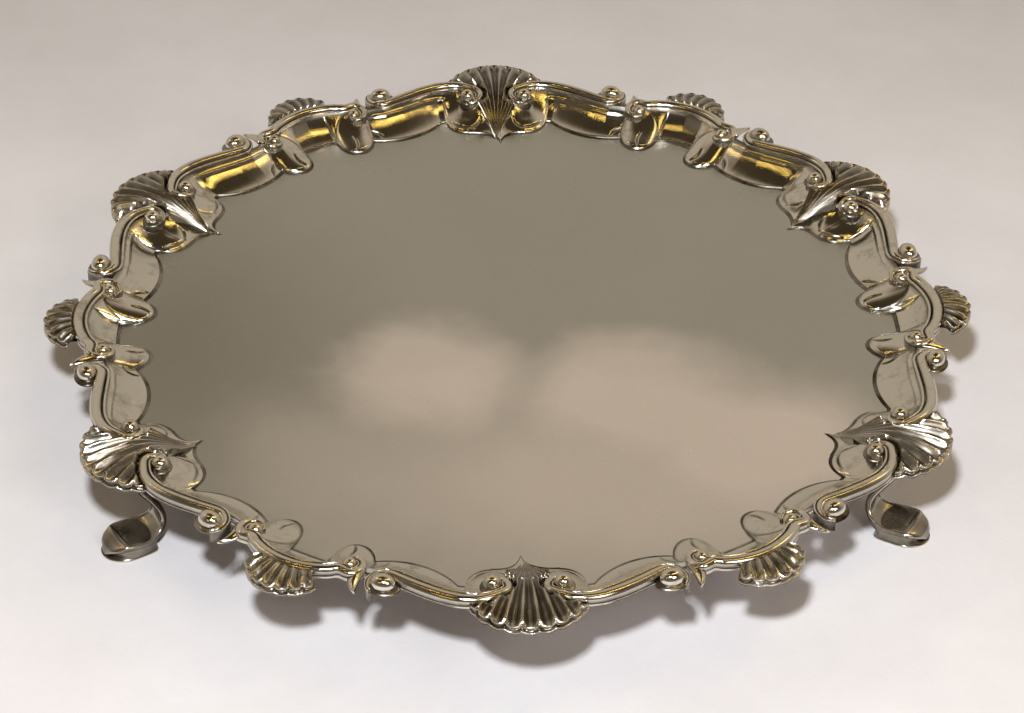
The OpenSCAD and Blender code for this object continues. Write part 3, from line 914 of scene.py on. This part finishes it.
finishes = {
    "plate_silver": silver("satin_well_silver", (0.53, 0.515, 0.465), (0.3, 0.27, 0.2), 0.1,
                           (0.22, 0.30), 900.0, 0.10, 0.02),
    "border_silver": silver("polished_border_silver", (0.72, 0.68, 0.60), (0.03, 0.022, 0.012), 1.0,
                            (0.06, 0.13), 1200.0, 0.08, 0.05),
    "scroll_silver": silver("polished_scroll_silver", (0.74, 0.69, 0.60), (0.025, 0.018, 0.009), 1.0,
                            (0.06, 0.12), 1300.0, 0.08, 0.05),
    "shell_silver": silver("polished_shell_silver", (0.69, 0.64, 0.56), (0.028, 0.019, 0.009), 1.0,
                           (0.07, 0.14), 1300.0, 0.08, 0.05),
    "foot_silver": silver("polished_foot_silver", (0.62, 0.56, 0.47), (0.022, 0.015, 0.008), 1.0,
                          (0.06, 0.13), 1300.0, 0.08, 0.05),
}
paint_sheen_and_shade_on_well(finishes["plate_silver"])
for piece, slot in pieces:
    piece.data.materials.append(finishes[slot])
print("finishes:", ", ".join(finishes))

# %% [markdown]
# ## The table
# A pale paper-covered table, a very soft grey-pink, with the faint mottling of cloth or paper. Toward the
# back its colour is painted a little greyer, a painted shade for the key light's falloff. It isn't part of
# the salver.

# %% Table top
TABLE_SHADE, TABLE_PALE = (0.665, 0.635, 0.65, 1), (0.745, 0.72, 0.74, 1)
bm = bmesh.new()
bmesh.ops.create_grid(bm, x_segments=1, y_segments=1, size=3.0)
mesh = bpy.data.meshes.new("table_top")
bm.to_mesh(mesh)
bm.free()
table = bpy.data.objects.new("table_top", mesh)
bpy.context.scene.collection.objects.link(table)
cloth = bpy.data.materials.new("pale_table_cover")
cloth.use_nodes = True
tree = cloth.node_tree
face = tree.nodes["Principled BSDF"]
L = tree.links.new
place = add(tree, "ShaderNodeTexCoord")
mottle = add(tree, "ShaderNodeTexNoise", Scale=14.0, Detail=6.0, Roughness=0.65)
tint = add(tree, "ShaderNodeValToRGB")
for stop, position, colour in zip(tint.color_ramp.elements, (0.3, 0.7), (TABLE_SHADE, TABLE_PALE)):
    stop.position, stop.color = position, colour
split = add(tree, "ShaderNodeSeparateXYZ")
# painted shade: the cover's colour is darkened toward the back, standing in for the key light's falloff
back = remap(tree, 0.02, 0.34, 1.0, 0.87, interpolation_type="SMOOTHSTEP")
dull = add(tree, "ShaderNodeVectorMath", operation="SCALE")
weave = add(tree, "ShaderNodeTexNoise", Scale=700.0, Detail=3.0)
nap = add(tree, "ShaderNodeBump", Strength=0.15, Distance=0.0005)
L(place.outputs["Object"], mottle.inputs["Vector"])
L(mottle.outputs["Fac"], tint.inputs["Fac"])
L(place.outputs["Object"], split.inputs[0])
L(split.outputs["Y"], back.inputs["Value"])
L(tint.outputs["Color"], dull.inputs[0])
L(back.outputs["Result"], dull.inputs["Scale"])
L(dull.outputs["Vector"], face.inputs["Base Color"])
L(place.outputs["Object"], weave.inputs["Vector"])
L(weave.outputs["Fac"], nap.inputs["Height"])
L(nap.outputs["Normal"], face.inputs["Normal"])
face.inputs["Roughness"].default_value = 0.85
mesh.materials.append(cloth)
print("table top set")

# %% [markdown]
# ## The room and the lights
# Polished silver shows the room round it, so the room matters more than the metal. The far end is a pale
# warm wall up to a dark ceiling, and the wall is what the well shows. The end behind the camera is dim. A
# small key light in front gives the hard shadow, a broad soft one to the right fills it, and small warm
# lamps high up give the yellow glints.

# %% Room
world = bpy.data.worlds.new("studio_room")
bpy.context.scene.world = world
world.use_nodes = True
tree = world.node_tree
tree.nodes.clear()
L = tree.links.new
where = add(tree, "ShaderNodeTexCoord")
parts = add(tree, "ShaderNodeSeparateXYZ")


FAR_WALL = [(0.0, (0.44, 0.39, 0.32)), (0.40, (0.48, 0.43, 0.35)), (0.70, (0.52, 0.455, 0.375)),
            (0.78, (0.42, 0.35, 0.27)), (0.86, (0.07, 0.052, 0.03)), (1.0, (0.045, 0.034, 0.02))]
NEAR_WALL = [(0.0, (0.22, 0.205, 0.19)), (0.30, (0.15, 0.13, 0.11)), (0.60, (0.085, 0.066, 0.046)),
             (0.84, (0.03, 0.021, 0.011)), (1.0, (0.045, 0.034, 0.02))]


def wall(stops):
    """Colour by height: 0 at the horizon, 1 overhead."""
    ramp = add(tree, "ShaderNodeValToRGB")
    for k, (at, colour) in enumerate(stops):
        e = ramp.color_ramp.elements[k] if k < 2 else ramp.color_ramp.elements.new(at)
        e.position, e.color = at, (*colour, 1)
    L(parts.outputs["Z"], ramp.inputs["Fac"])
    return ramp


far_wall, near_wall = wall(FAR_WALL), wall(NEAR_WALL)
side = remap(tree, -0.30, 0.25)
mix = add(tree, "ShaderNodeMix", data_type="RGBA")
back = add(tree, "ShaderNodeBackground", Strength=1.0)
out = add(tree, "ShaderNodeOutputWorld")
L(where.outputs["Generated"], parts.inputs["Vector"])
L(parts.outputs["Y"], side.inputs["Value"])
L(side.outputs["Result"], mix.inputs["Factor"])
L(near_wall.outputs["Color"], mix.inputs["A"])
L(far_wall.outputs["Color"], mix.inputs["B"])
L(mix.outputs["Result"], back.inputs["Color"])
L(back.outputs["Background"], out.inputs["Surface"])
print("room set")

# %% Lights
def area_light(name, place, aim, size, power, colour):
    data = bpy.data.lights.new(name, "AREA")
    data.shape, data.size, data.energy, data.color = "DISK", size, power, colour
    lamp = bpy.data.objects.new(name, data)
    lamp.location = place
    lamp.rotation_euler = (Vector(aim) - Vector(place)).to_track_quat("-Z", "Y").to_euler()
    bpy.context.scene.collection.objects.link(lamp)
    return lamp


FRONT_AIM, RIM_AIM = (0, -0.05, 0), (0, 0, 0.03)
LAMP_GLOW = (1.0, 0.68, 0.16)
# the warm lamps: place, size and power
LAMPS = [((0.96, 0.37, 1.23), 0.26, 0.9), ((0.66, 0.0, 1.46), 0.24, 0.8), ((0.32, -0.16, 1.56), 0.20, 0.6),
         ((-0.52, -0.05, 1.50), 0.14, 0.4), ((-0.95, 0.35, 1.22), 0.12, 0.35), ((-0.9, -1.1, 1.1), 0.2, 0.5)]
area_light("key", (-0.070, -0.56, 0.67), FRONT_AIM, 0.062, 7.6, (0.93, 0.97, 1.0))
area_light("window", (0.45, -0.80, 0.75), FRONT_AIM, 0.35, 2.4, (1.0, 0.92, 0.83))
for k, (place, size, power) in enumerate(LAMPS):
    area_light(f"warm_lamp_{k}", place, RIM_AIM, size, power, LAMP_GLOW)
print("lights set")

# %% Camera
camera = bpy.data.cameras.new("view")
camera.sensor_width, camera.lens = 36.0, 100.0
seen_from = bpy.data.objects.new("view", camera)
DISTANCE = 0.803
az, el, roll = math.radians(-2.73), math.radians(37.29), math.radians(0.74)
toward = Vector((math.sin(az) * math.cos(el), -math.cos(az) * math.cos(el), math.sin(el)))
right = Vector((math.cos(az), math.sin(az), 0))
up = toward.cross(right)
x_axis = right * math.cos(roll) + up * math.sin(roll)
y_axis = up * math.cos(roll) - right * math.sin(roll)
aim = Vector((0.0017 * CUSP, -0.1303 * CUSP, WELL)) * MM
facing = Matrix((x_axis, y_axis, toward)).transposed().to_4x4()
seen_from.matrix_world = Matrix.Translation(aim + toward * DISTANCE) @ facing
bpy.context.scene.collection.objects.link(seen_from)
bpy.context.scene.camera = seen_from
camera.dof.use_dof = False
bpy.context.scene.view_settings.view_transform = "Standard"
print("camera set")

# %% [markdown]
# ## Finish
# The view layer is brought up to date at the end.

# %% Finish
bpy.context.view_layer.update()
